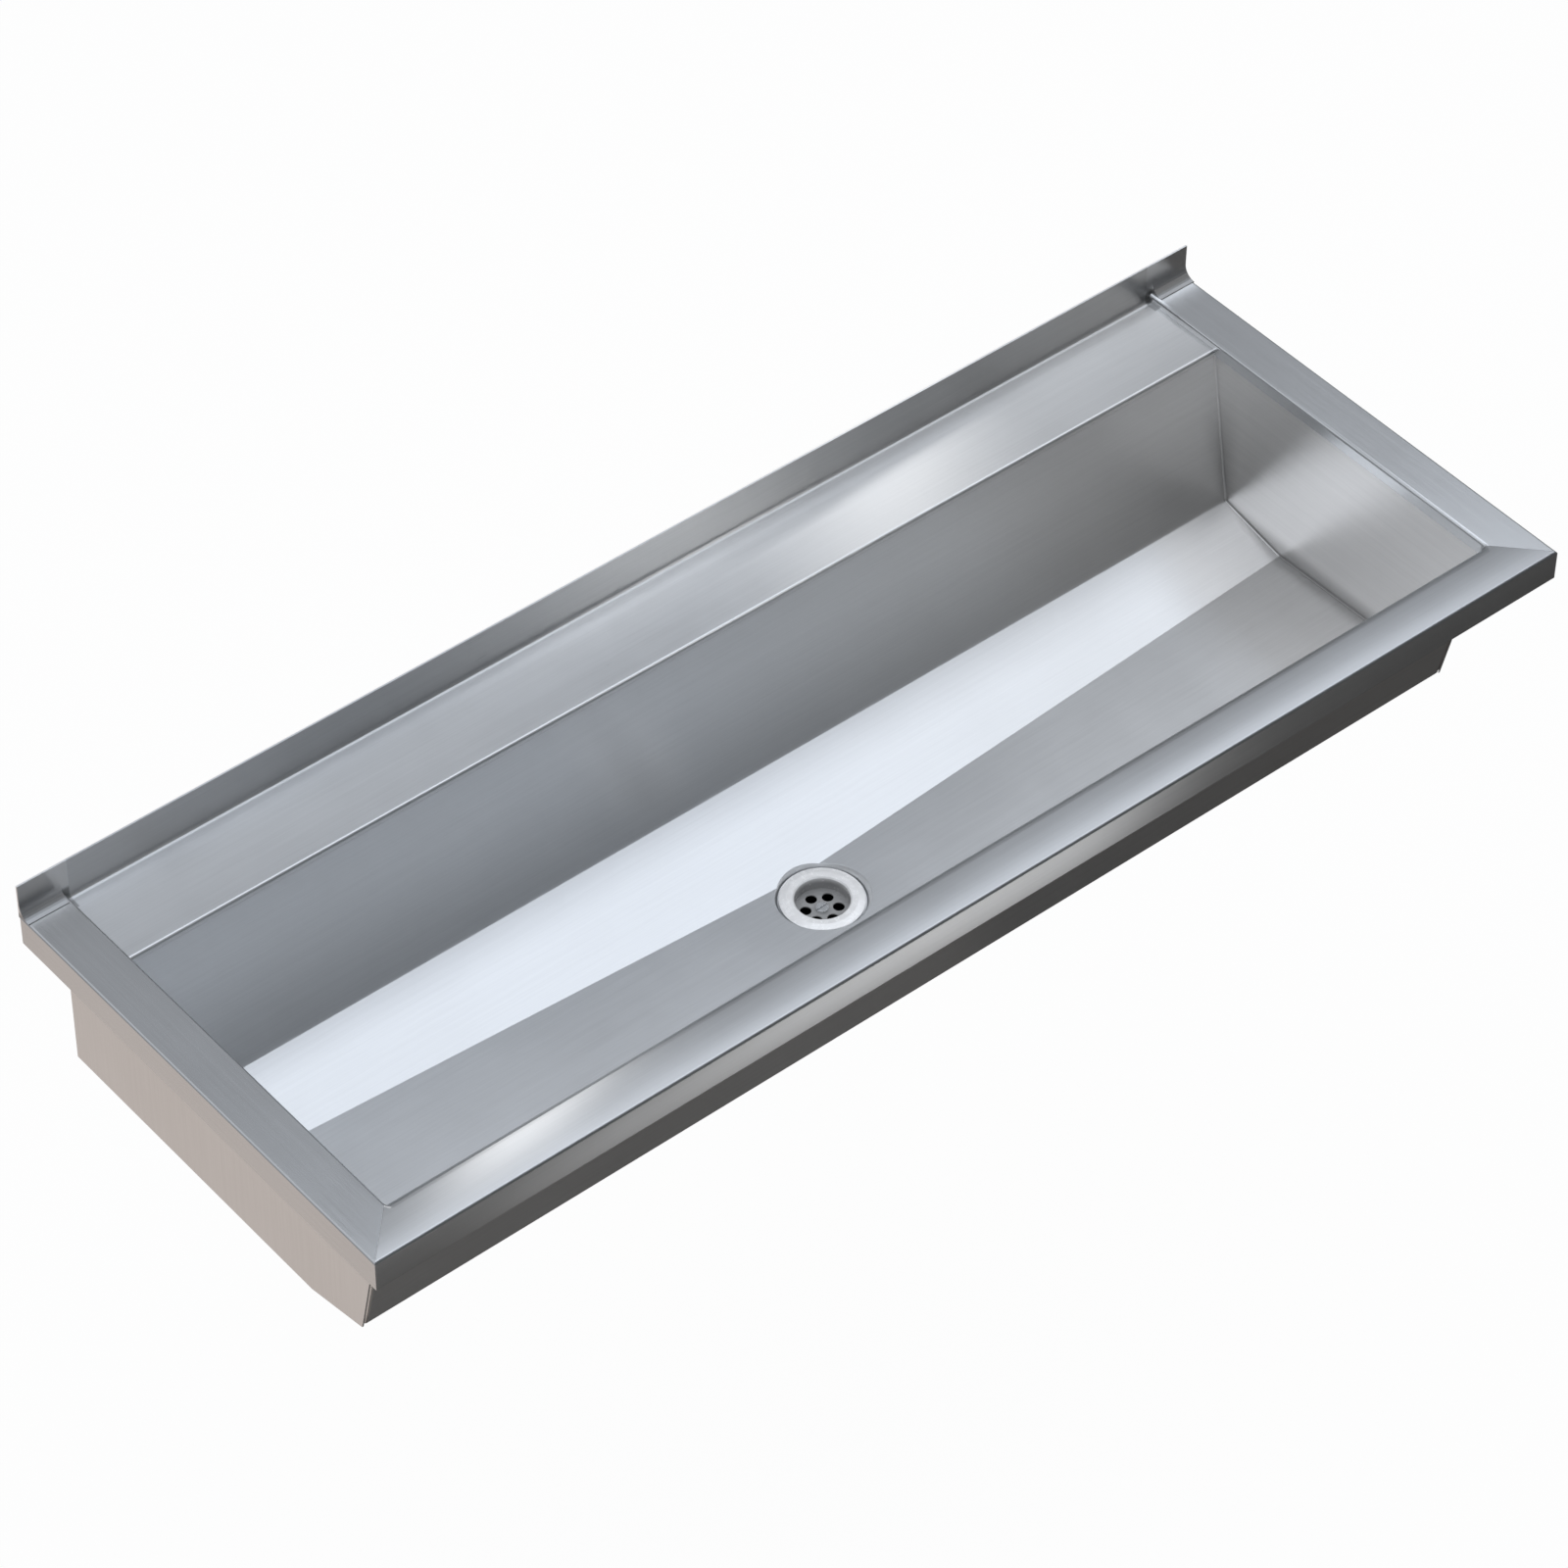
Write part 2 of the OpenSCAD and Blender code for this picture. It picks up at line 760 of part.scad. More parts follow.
bowl_pan();
end_wall(false);  // left_end_wall
end_wall(true);  // right_end_wall
front_rim();
end_rim(false);  // left_rim
end_rim(true);  // right_rim
rear_upstand();
gable(false);  // left_gable
gable(true);  // right_gable
ledge_stiffener();
wall_bracket(false);  // left_wall_bracket
wall_bracket(true);  // right_wall_bracket
bracket_bolts();
bracket_washers();
bracket_nuts();
sound_pad(false);  // left_sound_pad
sound_pad(true);  // right_sound_pad
strainer();
strainer_screw();
upper_seal();
lower_seal();
waste_body();
earth_tag();
earth_bolt();
earth_nut();
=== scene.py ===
"""Looks for the wall-hung trough sink: brushed steel sheet, polished waste, zinc-plated brackets."""

import math
from collections import namedtuple

import bpy
from mathutils import Matrix, Vector


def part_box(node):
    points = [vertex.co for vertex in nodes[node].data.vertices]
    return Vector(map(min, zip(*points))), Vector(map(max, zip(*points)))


RIM_Z = 0.090  # height of the rim above the origin
WASTE_Y = -0.240  # place of the waste across the bowl
FLOOR_Z = -0.80  # the rim hangs at about 0.9 m
CARD_Z = FLOOR_Z + 0.01
WARM_CARD_Z = CARD_Z + 0.01
STRIP_Z = CARD_Z + 0.02

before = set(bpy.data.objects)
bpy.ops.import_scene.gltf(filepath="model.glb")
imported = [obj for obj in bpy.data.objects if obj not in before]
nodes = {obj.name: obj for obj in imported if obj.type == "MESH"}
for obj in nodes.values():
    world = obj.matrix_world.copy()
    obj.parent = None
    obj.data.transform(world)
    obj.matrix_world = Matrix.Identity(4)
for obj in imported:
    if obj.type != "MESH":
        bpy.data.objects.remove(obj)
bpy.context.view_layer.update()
scene = bpy.context.scene


# Node helpers


class Tree:
    """A material's or the world's node tree, with short calls for the nodes used here."""

    def __init__(self, owner):
        owner.use_nodes = True
        self.tree = owner.node_tree
        self.tree.nodes.clear()

    def add(self, kind, **values):
        node = self.tree.nodes.new(kind)
        for key, value in values.items():
            setattr(node, key, value)
        return node

    def link(self, source, target):
        self.tree.links.new(source, target)

    def feed(self, socket, value):
        if isinstance(value, bpy.types.NodeSocket):
            self.link(value, socket)
        else:
            socket.default_value = value

    def math(self, operation, a, b=0.0, clamp=False):
        node = self.add("ShaderNodeMath", operation=operation, use_clamp=clamp)
        self.feed(node.inputs[0], a)
        self.feed(node.inputs[1], b)
        return node.outputs[0]

    def vector(self, operation, a, b):
        node = self.add("ShaderNodeVectorMath", operation=operation)
        self.feed(node.inputs[0], a)
        self.feed(node.inputs[1], b)
        return node.outputs["Vector"]

    def scale(self, vector, factor):
        node = self.add("ShaderNodeVectorMath", operation="SCALE")
        self.feed(node.inputs[0], vector)
        self.feed(node.inputs["Scale"], factor)
        return node.outputs["Vector"]

    def split(self, vector):
        node = self.add("ShaderNodeSeparateXYZ")
        self.link(vector, node.inputs[0])
        return node.outputs

    def ramp(self, value, low, high, out_low=0.0, out_high=1.0, smooth=True):
        node = self.add("ShaderNodeMapRange")
        node.interpolation_type = "SMOOTHSTEP" if smooth else "LINEAR"
        for socket, v in zip(node.inputs[:5], (value, low, high, out_low, out_high)):
            self.feed(socket, v)
        return node.outputs[0]

    def mix(self, factor, a, b):
        node = self.add("ShaderNodeMix", data_type="RGBA")
        self.feed(node.inputs[0], factor)
        self.feed(node.inputs[6], a)
        self.feed(node.inputs[7], b)
        return node.outputs[2]

    def place(self):
        return self.add("ShaderNodeTexCoord").outputs["Object"]

    def noise(self, vector, scale, detail=3.0, rough=0.5):
        node = self.add("ShaderNodeTexNoise")
        self.feed(node.inputs["Vector"], vector)
        self.feed(node.inputs["Scale"], scale)
        self.feed(node.inputs["Detail"], detail)
        self.feed(node.inputs["Roughness"], rough)
        return node.outputs["Fac"]

    def from_waste(self, vector):
        """Distance from the waste's upright axis."""
        aside = self.vector("SUBTRACT", vector, (0.0, WASTE_Y, 0.0))
        length = self.add("ShaderNodeVectorMath", operation="LENGTH")
        self.link(self.vector("MULTIPLY", aside, (1.0, 1.0, 0.0)), length.inputs[0])
        return length.outputs["Value"]

    def bump(self, height, distance, strength=1.0, normal=None):
        node = self.add("ShaderNodeBump")
        node.inputs["Strength"].default_value = strength
        node.inputs["Distance"].default_value = distance
        self.link(height, node.inputs["Height"])
        if normal is not None:
            self.link(normal, node.inputs["Normal"])
        return node.outputs["Normal"]

    def rounded(self, radius):
        node = self.add("ShaderNodeBevel", samples=4)
        node.inputs["Radius"].default_value = radius
        return node.outputs["Normal"]

    def glow(self, tint=None, strength=1.0):
        """An emission, white unless a tint is given."""
        node = self.add("ShaderNodeEmission")
        if tint is not None:
            node.inputs["Color"].default_value = colour(*tint)
        self.feed(node.inputs["Strength"], strength)
        return node.outputs[0]

    def finish(self, shader, kind="ShaderNodeOutputMaterial"):
        out = self.add(kind)
        self.link(shader, out.inputs["Surface"])


def colour(r, g, b):
    return (r, g, b, 1.0)


def shaded(tint, share):
    """A tint made darker or lighter by that share."""
    return colour(*(min(c * share, 1.0) for c in tint))


NOISE_RANGE = (0.3, 0.7)  # most of a noise's values lie between these
EDGE_RADIUS = 0.0005


# Brushed steel

GRAIN = {"X": (1.0, 0.0, 0.0), "Y": (0.0, 1.0, 0.0), "Z": (0.0, 0.0, 1.0)}
NUDGE = (0.01, 0.0, 0.01)  # keeps the grain's direction defined on faces that the grain points at
FINE_GRAIN = (14.0, 1500.0)  # scale of the noise along the grain and across it
COARSE_GRAIN = (3.0, 260.0)
FINE_SHARE = 0.6
COARSE_SHARE = 0.4
STREAK_CONTRAST = 0.03
STREAK_ROUGHNESS = 0.015
STREAK_DEPTH = 0.00001
CLOUD_SCALE = 7.0
CLOUD_SHADE = 0.965
CLOUD_ROUGHNESS = 0.015
WARM_RANGE = (-0.1, 0.45)  # where along X a sheet turns to its warm tint
PAINTED_SHADE_END_SOFT = 0.001
ALL_ALONG = -1.0  # painted light and shade that starts this far out covers the sheet's whole length

# Painted light and shade: a region of a sheet made darker or lighter as shade or light would fall there.
PaintedShade = namedtuple("PaintedShade", "line soft low high share_low share_high out", defaults=(ALL_ALONG,))


def grain_noise(t, p, along, scales, detail):
    """A noise that is drawn out along the grain."""
    stretch = tuple(scales[0] if v else scales[1] for v in along)
    return t.noise(t.vector("MULTIPLY", p, stretch), 1.0, detail)


def with_painted_shade(t, base, at, painted_shade):
    """The tint with painted light and shade over one region."""
    behind = t.ramp(at["Y"], painted_shade.line - painted_shade.soft, painted_shade.line + painted_shade.soft)
    aside = t.math("ABSOLUTE", at["X"])
    outside = t.ramp(aside, painted_shade.out - PAINTED_SHADE_END_SOFT, painted_shade.out + PAINTED_SHADE_END_SOFT)
    behind = t.math("MULTIPLY", behind, outside)
    share = t.ramp(at["Z"], painted_shade.low, painted_shade.high, painted_shade.share_low, painted_shade.share_high)
    share = t.math("SUBTRACT", share, 1.0)
    return t.scale(base, t.math("ADD", t.math("MULTIPLY", behind, share), 1.0))


def rolled(t, normal, height, way, bend):
    """The normal of a sheet that rolls slightly, as an arc does, past a place on one axis."""
    start, radius = bend
    past = t.math("MULTIPLY", t.math("SUBTRACT", height, start), way)
    run = t.math("MAXIMUM", past, 0.0)
    fall = t.math("MULTIPLY", t.math("MULTIPLY", run, run), -0.5 / radius)
    return t.bump(fall, 1.0, 1.0, normal)


def brushed_steel(name, grain, tint, rough=0.32, anisotropy=0.7,
                  crown=None, droop=None, painted_shades=(), warm=None):
    """Sheet with a fine grain along one axis, cloudy wear, and softened edges.

    A crown is the place along Y where a slight roll of the sheet starts, and its radius, and a
    droop is the same down Z. A painted shade is painted light and shade over a region of the sheet:
    the line along Y behind which it lies, that line's softness, its lower and upper height, what the
    tint is multiplied by at each, and how far out from the middle it starts along X. Warm is a second
    tint, which the sheet takes toward the right end.
    """
    material = bpy.data.materials.new(name)
    t = Tree(material)
    p = t.place()
    at = t.split(p)
    along = GRAIN[grain]
    fine = t.math("MULTIPLY", grain_noise(t, p, along, FINE_GRAIN, 2.0), FINE_SHARE)
    coarse = t.math("MULTIPLY", grain_noise(t, p, along, COARSE_GRAIN, 3.0), COARSE_SHARE)
    streaks = t.math("ADD", fine, coarse)
    clouds = t.noise(p, CLOUD_SCALE, 4.0, 0.6)
    dark = shaded(tint, 1.0 - STREAK_CONTRAST)
    light = shaded(tint, 1.0 + STREAK_CONTRAST)
    base = t.mix(t.ramp(streaks, *NOISE_RANGE), dark, light)
    base = t.scale(base, t.ramp(clouds, *NOISE_RANGE, CLOUD_SHADE, 1.0))
    if warm:
        toward_right = t.ramp(at["X"], *WARM_RANGE)
        base = t.vector("MULTIPLY", base, t.mix(toward_right, colour(1.0, 1.0, 1.0), colour(*warm)))
    # Painted light and shade over regions of the sheet.
    for painted_shade in painted_shades:
        base = with_painted_shade(t, base, at, painted_shade)
    bsdf = t.add("ShaderNodeBsdfPrincipled")
    bsdf.inputs["Metallic"].default_value = 1.0
    bsdf.inputs["Anisotropic"].default_value = anisotropy
    t.link(base, bsdf.inputs["Base Color"])
    cloudy = t.ramp(clouds, *NOISE_RANGE, rough - CLOUD_ROUGHNESS, rough + CLOUD_ROUGHNESS)
    streaky = t.ramp(streaks, *NOISE_RANGE, -STREAK_ROUGHNESS, STREAK_ROUGHNESS)
    t.link(t.math("ADD", cloudy, streaky), bsdf.inputs["Roughness"])
    across = t.vector("CROSS_PRODUCT", t.add("ShaderNodeNewGeometry").outputs["Normal"], along)
    t.link(t.vector("ADD", across, NUDGE), bsdf.inputs["Tangent"])
    normal = t.rounded(EDGE_RADIUS)
    if crown:
        normal = rolled(t, normal, at["Y"], 1.0, crown)
    if droop:
        normal = rolled(t, normal, at["Z"], -1.0, droop)
    t.link(t.bump(streaks, STREAK_DEPTH, 0.3, normal), bsdf.inputs["Normal"])
    t.finish(bsdf.outputs[0])
    return material


# Waste metal

TURNING_SCALE = 2600.0
TURNING_DEPTH = 0.00001
TURNING_ROUGHNESS = 0.04
SPOT_SCALE = 160.0
SPOT_RANGE = (0.35, 0.65)
SPOT_SHADE = 0.93
SPOT_ROUGHNESS = 0.06
WELL_SHADE = 0.40


def polished_steel(name, tint, rough, shine, well_shade_low_z, well_shade_high_z):
    """Bright waste metal with faint turning marks and dulling spots, and painted shade down in the well,
    darker toward its bottom.
    """
    material = bpy.data.materials.new(name)
    t = Tree(material)
    p = t.place()
    rings = t.add("ShaderNodeTexNoise", noise_dimensions="1D")
    t.link(t.math("MULTIPLY", t.from_waste(p), TURNING_SCALE), rings.inputs["W"])
    turning = rings.outputs["Fac"]
    spots = t.noise(p, SPOT_SCALE, 3.0)
    bsdf = t.add("ShaderNodeBsdfPrincipled")
    bsdf.inputs["Metallic"].default_value = shine
    spotted = t.mix(t.ramp(spots, *SPOT_RANGE), shaded(tint, SPOT_SHADE), colour(*tint))
    # Painted shade: the tint darkens down toward the well's bottom.
    painted_well_shade = t.ramp(t.split(p)["Z"], well_shade_low_z, well_shade_high_z, WELL_SHADE, 1.0)
    t.link(t.scale(spotted, painted_well_shade), bsdf.inputs["Base Color"])
    spotty = t.ramp(spots, *NOISE_RANGE, rough, rough + SPOT_ROUGHNESS)
    turned = t.ramp(turning, *NOISE_RANGE, 0.0, TURNING_ROUGHNESS)
    t.link(t.math("ADD", spotty, turned), bsdf.inputs["Roughness"])
    t.link(t.bump(turning, TURNING_DEPTH, 0.4, t.rounded(EDGE_RADIUS)), bsdf.inputs["Normal"])
    t.finish(bsdf.outputs[0])
    return material


# Zinc plating

SPANGLE_SCALE = 240.0
SPANGLE_SHARE = 0.35
GRIME_SCALE = 45.0
GRIME_SHARE = 0.65
ZINC_RANGE = (0.2, 0.7)
ZINC_SHADE = 0.86
ZINC_ROUGHNESS = (0.34, 0.5)
ZINC_DEPTH = 0.00006
THREAD_DEPTH = 0.0003
# Painted shade inside the bore, and its added roughness.
BORE_SHADE = 0.03
BORE_ROUGHNESS = 0.5


def zinc_plate(name, tint, pitch=None, bore=None):
    """Satin zinc with its soft spangle.

    A pitch adds a thread as fine bands. A bore is a region round the waste's axis with painted
    shade, nearly black, and a rougher finish: its lower and upper height, and its radius at each.
    """
    material = bpy.data.materials.new(name)
    t = Tree(material)
    p = t.place()
    at = t.split(p)
    cells = t.add("ShaderNodeTexVoronoi")
    t.link(p, cells.inputs["Vector"])
    cells.inputs["Scale"].default_value = SPANGLE_SCALE
    spangle = t.math("MULTIPLY", cells.outputs["Distance"], SPANGLE_SHARE)
    grime = t.math("MULTIPLY", t.noise(p, GRIME_SCALE, 5.0, 0.6), GRIME_SHARE)
    shade = t.math("ADD", spangle, grime)
    bsdf = t.add("ShaderNodeBsdfPrincipled")
    bsdf.inputs["Metallic"].default_value = 0.9
    base = t.mix(t.ramp(shade, *ZINC_RANGE), shaded(tint, ZINC_SHADE), colour(*tint))
    rough = t.ramp(shade, *ZINC_RANGE, *ZINC_ROUGHNESS)
    # Painted shade inside the bore: nearly black, and rougher.
    if bore:
        limit = t.ramp(at["Z"], *bore, smooth=False)
        outside_bore = t.math("GREATER_THAN", t.from_waste(p), limit)
        base = t.scale(base, t.ramp(outside_bore, 0.0, 1.0, BORE_SHADE, 1.0))
        rough = t.math("ADD", rough, t.ramp(outside_bore, 0.0, 1.0, BORE_ROUGHNESS, 0.0))
    t.link(base, bsdf.inputs["Base Color"])
    t.link(rough, bsdf.inputs["Roughness"])
    normal = t.rounded(EDGE_RADIUS)
    if pitch:
        wave = t.math("SINE", t.math("MULTIPLY", at["Z"], 2 * math.pi / pitch))
        normal = t.bump(wave, THREAD_DEPTH, 0.6, normal)
    t.link(t.bump(shade, ZINC_DEPTH, 0.4, normal), bsdf.inputs["Normal"])
    t.finish(bsdf.outputs[0])
    return material


# Rubber and bitumen

DUST_SCALE = 30.0
DUST_RANGE = (0.35, 0.75)
DUST_SHADE = 1.9
SPECKLE_ROUGHNESS = 0.08


def dark_rubber(name, tint, rough, grain, painted_well_shade):
    """Rubber or bitumen with a speckled skin and dust."""
    material = bpy.data.materials.new(name)
    t = Tree(material)
    p = t.place()
    speckle = t.noise(p, grain, 4.0, 0.65)
    dust = t.ramp(t.noise(p, DUST_SCALE, 3.0), *DUST_RANGE)
    bsdf = t.add("ShaderNodeBsdfPrincipled")
    t.link(t.mix(dust, colour(*tint), shaded(tint, DUST_SHADE)), bsdf.inputs["Base Color"])
    speckled = t.ramp(speckle, *NOISE_RANGE, rough - SPECKLE_ROUGHNESS, rough + SPECKLE_ROUGHNESS)
    t.link(speckled, bsdf.inputs["Roughness"])
    t.link(t.bump(speckle, painted_well_shade, 0.7), bsdf.inputs["Normal"])
    t.finish(bsdf.outputs[0])
    return material


# Painted light and shade, rolls and tints of the pieces

BACK_FOOT_Y = -0.1112  # where the back wall stands
IN_FRONT_Y = -0.5  # in front of the trough, so that painted light and shade with this line lies all over
# Painted shade low on the back wall, darker toward its foot, and a painted highlight near its top.
BACK_WALL_PAINTED_LIGHT = PaintedShade(BACK_FOOT_Y, 0.0008, low=-0.062, high=0.07, share_low=0.74, share_high=1.08)
# Painted light and shade over the end walls: darker low, lighter high.
END_WALL_PAINTED_LIGHT = PaintedShade(IN_FRONT_Y, 0.01, low=-0.06, high=0.06, share_low=0.93, share_high=1.06)
# Painted shade in the rear corners of the end walls, darkest at the bottom.
REAR_CORNER_PAINTED_SHADE = PaintedShade(-0.112, 0.015, low=-0.06, high=0.06, share_low=0.45, share_high=1.0)
# Painted shade along the foot of the end walls, where they meet the base.
FOOT_PAINTED_SHADE = PaintedShade(IN_FRONT_Y, 0.01, low=-0.078, high=-0.060, share_low=0.55, share_high=1.0)
# Painted shade in the coves at the ends of the upstand, and a painted highlight just above them.
COVE_PAINTED_LIGHT = PaintedShade(-0.0145, 0.001, low=0.0915, high=0.097, share_low=0.5, share_high=1.25, out=0.5545)
END_WALL_PAINTED_LIGHTS = [END_WALL_PAINTED_LIGHT, REAR_CORNER_PAINTED_SHADE, FOOT_PAINTED_SHADE]

WARM = (1.015, 1.0, 0.98)
LEDGE_CROWN = (-0.075, -0.6)
FRONT_CROWN = (-0.445, 0.13)
LIP_DROOP = (0.088, 0.18)
RIM_CURL = (-0.036, -0.14)

# One steel throughout: its tint is set piece by piece as painted light and shade, darkest on the left
# rim and front rim, and warm on the end walls as a painted reflection.
sheet_upstand = brushed_steel("steel_upstand", "X", (0.84, 0.85, 0.86), rough=0.30,
                              crown=LEDGE_CROWN, painted_shades=[COVE_PAINTED_LIGHT], warm=WARM)
sheet_bowl = brushed_steel("steel_bowl", "X", (0.88, 0.89, 0.90), painted_shades=[BACK_WALL_PAINTED_LIGHT], warm=WARM)
sheet_front = brushed_steel("steel_front_rim", "X", (0.74, 0.75, 0.76), crown=FRONT_CROWN,
                            droop=LIP_DROOP)
sheet_ends = brushed_steel("steel_end_walls", "Y", (0.91, 0.89, 0.87), painted_shades=END_WALL_PAINTED_LIGHTS)
sheet_right = brushed_steel("steel_right_rim", "Y", (0.78, 0.79, 0.80), rough=0.24, anisotropy=0.4,
                            crown=RIM_CURL)
sheet_left = brushed_steel("steel_left_rim", "Y", (0.72, 0.73, 0.74), rough=0.24, anisotropy=0.4,
                           crown=RIM_CURL)
sheet_gable = brushed_steel("steel_gables", "Z", (0.82, 0.82, 0.82), rough=0.34)

WELL_Z, FLANGE_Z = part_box("strainer")[0][2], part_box("strainer")[1][2]
# Painted shade in the well darkens it below the flange.
polished = polished_steel("waste_polish", (0.97, 0.97, 0.97), rough=0.2, shine=0.2,
                          well_shade_low_z=WELL_Z + 0.007, well_shade_high_z=FLANGE_Z - 0.0005)
screw_metal = polished_steel("waste_screw", (0.80, 0.81, 0.82), rough=0.16, shine=1.0,
                             well_shade_low_z=WELL_Z - 0.002, well_shade_high_z=WELL_Z - 0.001)

TAIL_PITCH = 0.002309
BOLT_PITCH = 0.00125
TAIL_BORE = (-0.1252, -0.1205, 0.0217, 0.0268)
waste_metal = zinc_plate("waste_plating", (0.62, 0.63, 0.64), pitch=TAIL_PITCH, bore=TAIL_BORE)
zinc = zinc_plate("zinc_plating", (0.56, 0.57, 0.58))
zinc_bolts = zinc_plate("zinc_bolts", (0.60, 0.61, 0.62), pitch=BOLT_PITCH)
seal_rubber = dark_rubber("seal_rubber", (0.018, 0.018, 0.02), rough=0.62, grain=900.0, painted_well_shade=0.00004)
seal_pale = dark_rubber("seal_pale", (0.30, 0.30, 0.30), rough=0.55, grain=900.0, painted_well_shade=0.00003)
pad_bitumen = dark_rubber("pad_bitumen", (0.030, 0.028, 0.026), rough=0.80, grain=260.0, painted_well_shade=0.0002)

FINISHES = {
    sheet_bowl: ["bowl_pan"],
    sheet_upstand: ["rear_upstand"],
    sheet_front: ["front_rim"],
    sheet_ends: ["left_end_wall", "right_end_wall"],
    sheet_left: ["left_rim"],
    sheet_right: ["right_rim"],
    sheet_gable: ["left_gable", "right_gable", "earth_tag"],
    polished: ["strainer"],
    screw_metal: ["strainer_screw"],
    waste_metal: ["waste_body"],
    zinc: ["ledge_stiffener", "left_wall_bracket", "right_wall_bracket", "bracket_washers"],
    zinc_bolts: ["bracket_bolts", "bracket_nuts", "earth_bolt", "earth_nut"],
    seal_pale: ["upper_seal"],
    seal_rubber: ["lower_seal"],
    pad_bitumen: ["left_sound_pad", "right_sound_pad"],
}
for material, names in FINISHES.items():
    for name in names:
        for slot in nodes[name].material_slots:
            slot.material = material


# Floor, world and studio. The floor and the world are white to the camera and in reflections.

FLOOR_HALF = 7.0
FLOOR_MOTTLE = 9.0
FLOOR_DULL = (0.86, 0.86, 0.86)
FLOOR_PALE = (0.88, 0.88, 0.88)
FLOOR_WHITE_SHARE = 0.95
WORLD_TINT = (0.75, 0.76, 0.78)


def white_to_rays(tree, plain, share):
    """A plain shader, white by that share to camera, glossy and transmission rays."""
    rays = tree.add("ShaderNodeLightPath")
    seen = tree.math("ADD", rays.outputs["Is Camera Ray"], rays.outputs["Is Glossy Ray"])
    seen = tree.math("ADD", seen, rays.outputs["Is Transmission Ray"], clamp=True)
    shown = tree.add("ShaderNodeMixShader")
    tree.link(tree.math("MULTIPLY", seen, share), shown.inputs[0])
    tree.link(plain, shown.inputs[1])
    tree.link(tree.glow(), shown.inputs[2])
    return shown.outputs[0]


def plane(name, corners, material):
    mesh = bpy.data.meshes.new(name)
    mesh.from_pydata(corners, [], [tuple(range(len(corners)))])
    mesh.materials.append(material)
    made = bpy.data.objects.new(name, mesh)
    scene.collection.objects.link(made)
    return made


def level_corners(low, high, z):
    return [(low[0], low[1], z), (high[0], low[1], z), (high[0], high[1], z), (low[0], high[1], z)]


def only_in_reflections(made):
    made.visible_camera = False
    made.visible_diffuse = False
    made.visible_shadow = False


def card(name, low, high, z, light):
    """A flat card over the floor. The steel reflects it, and the camera doesn't see it."""
    material = bpy.data.materials.new(name)
    t = Tree(material)
    t.finish(t.glow(light))
    only_in_reflections(plane(name, level_corners(low, high, z), material))


floor_paint = bpy.data.materials.new("floor_paint")
t = Tree(floor_paint)
matt = t.add("ShaderNodeBsdfDiffuse")
mottle = t.noise(t.place(), FLOOR_MOTTLE)
t.link(t.mix(mottle, colour(*FLOOR_DULL), colour(*FLOOR_PALE)), matt.inputs["Color"])
from_below = t.add("ShaderNodeMixShader")
t.link(t.add("ShaderNodeNewGeometry").outputs["Backfacing"], from_below.inputs[0])
t.link(white_to_rays(t, matt.outputs[0], FLOOR_WHITE_SHARE), from_below.inputs[1])
t.link(t.add("ShaderNodeBsdfTransparent").outputs[0], from_below.inputs[2])
t.finish(from_below.outputs[0])
plane("floor", level_corners((-FLOOR_HALF, -FLOOR_HALF), (FLOOR_HALF, FLOOR_HALF), FLOOR_Z), floor_paint)

# Four grey cards in two rows, darker to the right, and a warm one at the left.
CARDS_LEFT, CARDS_RIGHT = -1.3, 2.4
CARDS_FRONT, CARDS_SPLIT, CARDS_REAR = -2.6, -0.95, -0.05
card("card_near_left", (CARDS_LEFT, CARDS_SPLIT), (0.45, CARDS_REAR), CARD_Z, (0.096, 0.092, 0.089))
card("card_near_right", (0.45, CARDS_SPLIT), (CARDS_RIGHT, CARDS_REAR), CARD_Z, (0.063, 0.061, 0.060))
card("card_left", (CARDS_LEFT, CARDS_FRONT), (0.55, CARDS_SPLIT), CARD_Z, (0.143, 0.141, 0.139))
card("card_right", (0.55, CARDS_FRONT), (CARDS_RIGHT, CARDS_SPLIT), CARD_Z, (0.083, 0.082, 0.080))
card("card_warm", (-2.6, -0.9), (-0.63, 2.2), WARM_CARD_Z, (0.588, 0.526, 0.490))

scene.world = scene.world or bpy.data.worlds.new("studio")
t = Tree(scene.world)
plain = t.add("ShaderNodeBackground")
plain.inputs["Color"].default_value = colour(*WORLD_TINT)
t.finish(white_to_rays(t, plain.outputs[0], 1.0), "ShaderNodeOutputWorld")

# The tent is grey cloth round the set: paler behind and above, most of all at the rear left, and
# dark at the horizon and in front. Its ranges are parts of the direction from its middle.
TENT_RADIUS = 3.2
TENT_PLACE = (0.0, -0.2, 0.0)
TENT_TINT = (0.95, 0.99, 1.05)
TENT_RISE = (0.0, 0.62)
TENT_SIDE = (-0.35, 0.25)
TENT_LEFT = (-0.5, -0.2)
LEFT_GAIN = 1.8
REAR_TONES = (0.15, 0.37)
FRONT_TONES = (0.05, 0.09)

tent_cloth = bpy.data.materials.new("tent_cloth")
t = Tree(tent_cloth)
toward = t.add("ShaderNodeVectorMath", operation="NORMALIZE")
t.link(t.place(), toward.inputs[0])
way = t.split(toward.outputs["Vector"])
rear = t.ramp(way["Z"], *TENT_RISE, *REAR_TONES)
rear = t.math("MULTIPLY", rear, t.ramp(way["X"], *TENT_LEFT, LEFT_GAIN, 1.0))
front = t.ramp(way["Z"], *TENT_RISE, *FRONT_TONES)
side = t.ramp(way["Y"], *TENT_SIDE)
tone = t.add("ShaderNodeMix", data_type="FLOAT")
for socket, v in zip((tone.inputs[0], tone.inputs[2], tone.inputs[3]), (side, front, rear)):
    t.feed(socket, v)
t.finish(t.glow(TENT_TINT, tone.outputs[0]))
bpy.ops.mesh.primitive_uv_sphere_add(radius=TENT_RADIUS, segments=48, ring_count=24, location=TENT_PLACE)
tent = bpy.context.object
tent.name = "tent"
tent.data.materials.append(tent_cloth)
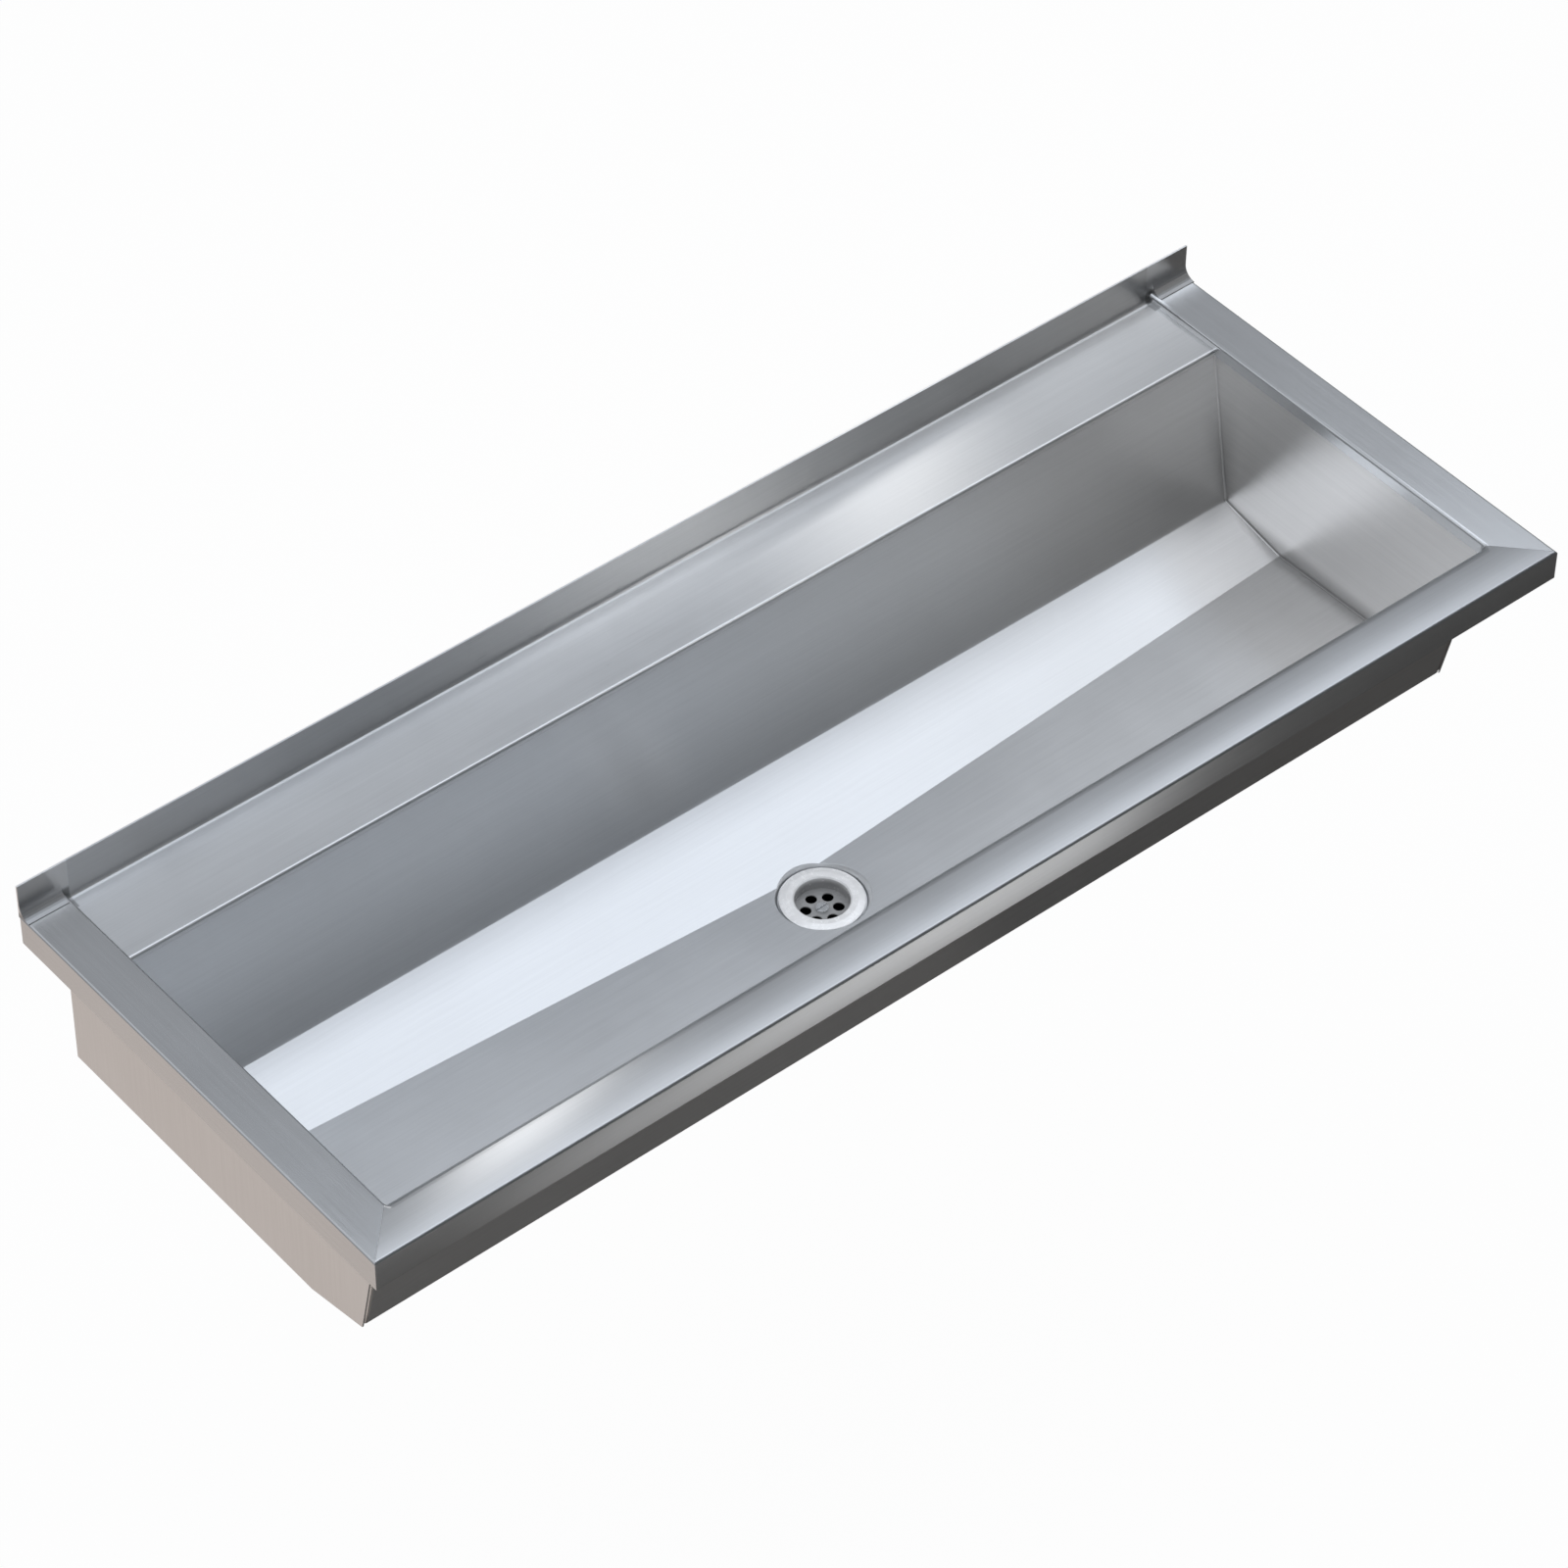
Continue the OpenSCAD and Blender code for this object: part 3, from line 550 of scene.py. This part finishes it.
only_in_reflections(tent)

# The softbox hangs over the trough and faces down.
SOFTBOX_PLACE = (0.30, -0.10, 1.50)
SOFTBOX_SIZE = (2.90, 1.12)
SOFTBOX_TURN = math.radians(7.0)
SOFTBOX_RADIANCE = 0.93
SOFTBOX_TINT = (0.94, 1.0, 1.09)

lamp = bpy.data.lights.new("softbox", "AREA")
lamp.shape = "RECTANGLE"
lamp.size, lamp.size_y = SOFTBOX_SIZE
lamp.energy = SOFTBOX_RADIANCE * math.pi * SOFTBOX_SIZE[0] * SOFTBOX_SIZE[1]
lamp.color = SOFTBOX_TINT
softbox = bpy.data.objects.new("softbox", lamp)
scene.collection.objects.link(softbox)
softbox.location = SOFTBOX_PLACE
softbox.rotation_euler = (0.0, 0.0, SOFTBOX_TURN)
softbox.visible_camera = False

# Six narrow strips of light, each aimed at one or two pieces of the trough.

UPRIGHT_Y = -0.85
UPRIGHT_LOW, UPRIGHT_HIGH = 0.55, 1.40
LEFT_STRIP = [(-0.23, 0.07, 0.60), (-0.11, 0.07, 0.60), (0.04, 0.45, 0.15), (-0.13, 0.45, 0.15)]
REAR_STRIP = [(0.58, 0.24), (0.70, 0.24), (0.60, 0.46), (0.48, 0.46)]
REAR_STRIP_Z = 0.615
LIP_STRIP = [(-0.15, -0.80), (0.62, -0.80), (0.98, -1.5), (0.74, -1.5)]


def strip(name, corners, light, lit):
    """A strip of light that only the named nodes reflect."""
    cloth = bpy.data.materials.new(name)
    t = Tree(cloth)
    both = t.add("ShaderNodeAddShader")
    t.link(t.glow(strength=light), both.inputs[0])
    t.link(t.add("ShaderNodeBsdfTransparent").outputs[0], both.inputs[1])
    t.finish(both.outputs[0])
    made = plane(name, corners, cloth)
    only_in_reflections(made)
    group = bpy.data.collections.new(name + "_lights")
    for node in lit:
        group.objects.link(nodes[node])
    made.light_linking.receiver_collection = group


def level_strip(name, outline, z, light, lit):
    """A strip that lies level at one height."""
    strip(name, [(x, y, z) for x, y in outline], light, lit)


def upright_strip(name, left, right, light, lit):
    """A strip that stands in front of the trough, between two places along X."""
    corners = [(left, UPRIGHT_Y, UPRIGHT_LOW), (right, UPRIGHT_Y, UPRIGHT_LOW),
               (right, UPRIGHT_Y, UPRIGHT_HIGH), (left, UPRIGHT_Y, UPRIGHT_HIGH)]
    strip(name, corners, light, lit)


strip("strip_left", LEFT_STRIP, light=1.3, lit=["front_rim"])
level_strip("strip_rear", REAR_STRIP, REAR_STRIP_Z, light=1.8, lit=["rear_upstand"])
upright_strip("strip_front", 0.54, 0.70, light=1.9, lit=["rear_upstand"])
upright_strip("strip_right", 1.22, 1.60, light=0.5, lit=["rear_upstand", "right_rim"])
upright_strip("strip_end", -0.22, 0.00, light=0.3, lit=["left_rim", "rear_upstand"])
level_strip("strip_lip", LIP_STRIP, STRIP_Z, light=1.0, lit=["front_rim"])


# Camera: fitted to the photograph's straight edges

EYE = (-2.19895, -2.79143, 3.29951 + RIM_Z)
FORWARD = (0.457666, 0.541374, -0.705305)
DOWN = (-0.445808, -0.546615, -0.708849)
PHOTO_WIDTH = 1600.0  # in pixels
FOCAL_LENGTH = 6127.8  # in the same pixels
SENSOR_WIDTH = 36.0

forward = Vector(FORWARD).normalized()
down = Vector(DOWN)
down = (down - forward * down.dot(forward)).normalized()
right = down.cross(forward)
lens = bpy.data.cameras.new("camera")
lens.sensor_width = SENSOR_WIDTH
lens.lens = SENSOR_WIDTH * FOCAL_LENGTH / PHOTO_WIDTH
lens.clip_start, lens.clip_end = 0.1, 60.0
camera = bpy.data.objects.new("camera", lens)
scene.collection.objects.link(camera)
turned = Matrix((right, -down, -forward)).transposed().to_4x4()
camera.matrix_world = Matrix.Translation(EYE) @ turned
scene.camera = camera

scene.view_settings.view_transform = "Standard"
